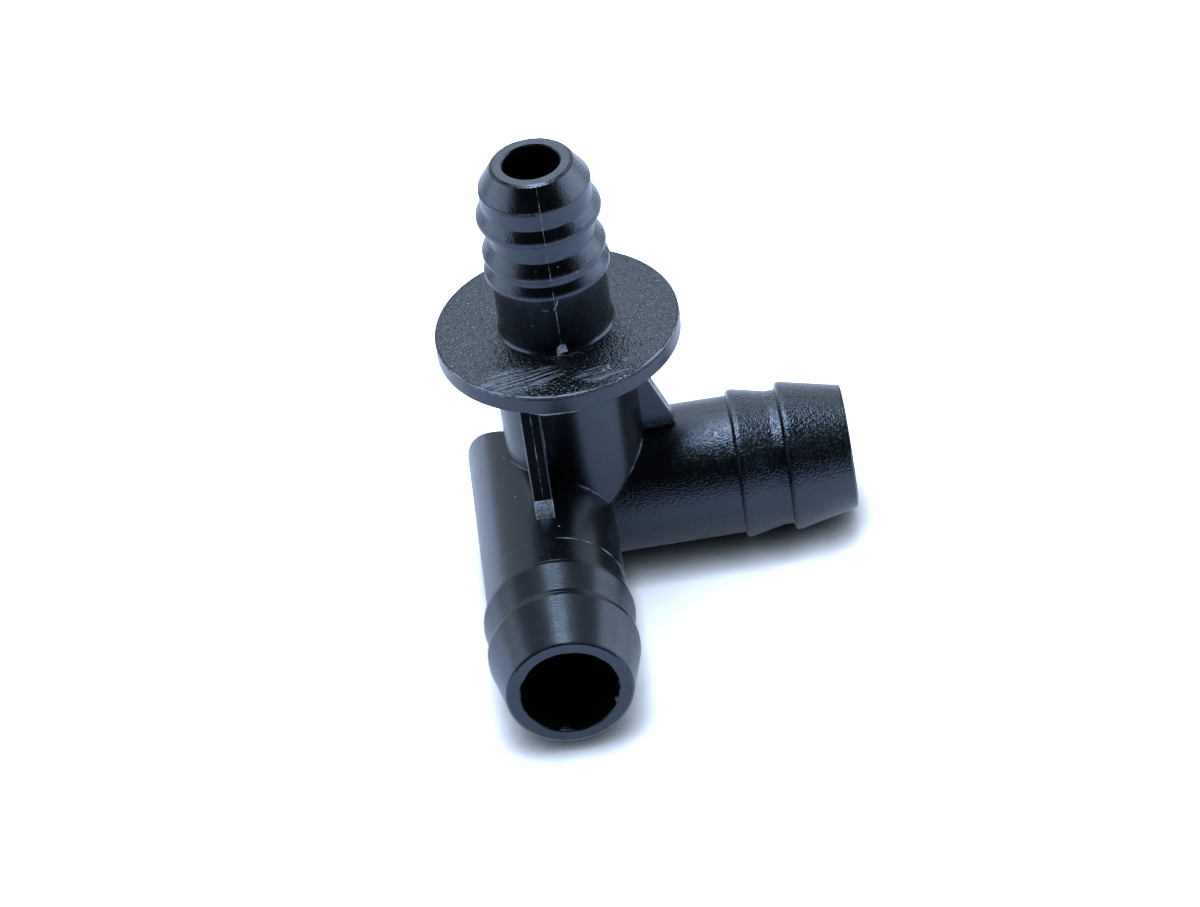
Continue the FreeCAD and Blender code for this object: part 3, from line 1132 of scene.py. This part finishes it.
def blend_strip(name, seam):
    """A hollow strip along a seam of (point, stem facing, leg facing)."""
    rings = []
    for point, stem_facing, leg_facing in seam:
        up_stem = (leg_facing - stem_facing * leg_facing.dot(stem_facing)).normalized()
        over_leg = (stem_facing - leg_facing * stem_facing.dot(leg_facing)).normalized()
        stem_end = point + up_stem * mm(blend_width) - stem_facing * mm(0.004)
        leg_end = point + over_leg * mm(blend_width) - leg_facing * mm(0.004)
        ring = []
        for share in stations(0, 1, 1 / blend_steps):
            ring.append(stem_end * (1 - share) ** 2 + point * 2 * share * (1 - share) + leg_end * share ** 2)
        ring.append(point - (stem_facing + leg_facing) * mm(0.05))
        rings.append(ring)
    return skinned(name, rings, False, plastic)


def side_seam(first, last, front):
    """The seam of the stem with the side leg, by its distance from the spigot's axis along X."""
    seam = []
    sign = -1 if front else 1
    for x in stations(first, last, seam_step):
        y = sign * math.sqrt(tube_radius ** 2 - x ** 2)
        height = abs(x)
        seam.append((mm(x, y, leg_axis_height + height), Vector((x, y, 0)).normalized(),
                     Vector((0, y, height)).normalized()))
    return seam


def front_seam(first, last):
    """The seam of the stem with the front leg, from left to right."""
    seam = []
    for x in stations(first, last, seam_step):
        y = -math.sqrt(tube_radius ** 2 - x ** 2)
        height = math.sqrt(tube_radius ** 2 - (x + stem_offset) ** 2)
        seam.append((mm(x, y, leg_axis_height + height), Vector((x, y, 0)).normalized(),
                     Vector((x + stem_offset, 0, height)).normalized()))
    return seam


blend_strip("blend_side_front", side_seam(2.3, 6.3, True))
blend_strip("blend_side_back", side_seam(1.2, 6.3, False))
blend_strip("blend_elbow_back", side_seam(-1.2, -6.0, False))
blend_strip("blend_front_left", front_seam(-6.2, -4.5))
blend_strip("blend_front_right", front_seam(-3.0, 2.2))


def seam_thread(name, seam, thickness, seed):
    """A broken pale thread in the bottom of a seam: flash, whose pale finish is also a painted highlight of
    the seam.
    """
    path = [(point, (stem_facing + leg_facing).normalized()) for point, stem_facing, leg_facing in seam]
    return ridge(name, path, thickness * 2, thickness + 0.1, seed, breaks=0.25, pace=0.8, material=torn)


# The pale threads in the stem's seams are flash and a painted highlight of the seams.
seam_thread("seam_glint_side", side_seam(4.2, 6.3, True), 0.07, 91)
seam_thread("seam_glint_front", front_seam(-0.6, 2.2), 0.05, 92)
print("blends on the stem's foot: 5")

# %% [markdown]
# ## Specks
#
# A handling part always carries a few flecks: crumbs of plastic and dust that the picture shows as pale
# dots. Each is a tiny broken dome on the skin, set where a probe from above or from the front meets it.

# %% Specks
speck_width = 0.2
over_flange = 3.0
under_plate = -2.6

# From above: X, Y and the height that the probe falls from. From the front: X and height.
specks_from_above = [
    (4.05, -7.8, over_flange),
    (5.4, -7.4, over_flange),
    (9.36, 1.62, over_flange),
    (9.0, 1.3, over_flange),
    (-6.31, -7.46, under_plate),
    (-6.85, -1.1, under_plate),
    (-2.67, -13.15, under_plate),
]
specks_from_front = [(0.96, 9.8), (-1.07, 9.67), (2.6, 8.9), (-2.2, 3.4)]
for index, (x, y, start_height) in enumerate(specks_from_above):
    point, facing = probe(mm(x, y, start_height), -up)
    stump("speck_%d" % (index + 1), point, facing, speck_width, height=0.09, seed=100 + index, sides=7,
          tiers=3)
for index, (x, height) in enumerate(specks_from_front):
    point, facing = probe(mm(x, -far_out, height), north)
    stump("speck_front_%d" % (index + 1), point, facing, speck_width * 0.8, height=0.07, seed=120 + index,
          sides=7, tiers=3)

# Larger flakes that were scraped up beside the scuffs: X, Y and width
flakes = [(4.2, -8.2, 0.75), (5.85, -7.3, 0.6), (3.6, -8.5, 0.45)]
for index, (x, y, width) in enumerate(flakes):
    point, facing = probe(mm(x, y, over_flange), -up)
    stump("flake_%d" % (index + 1), point, facing, width, height=0.07, seed=140 + index, sides=9, tiers=3,
          roughness=1.2)
print("marks in all:", len(marks))
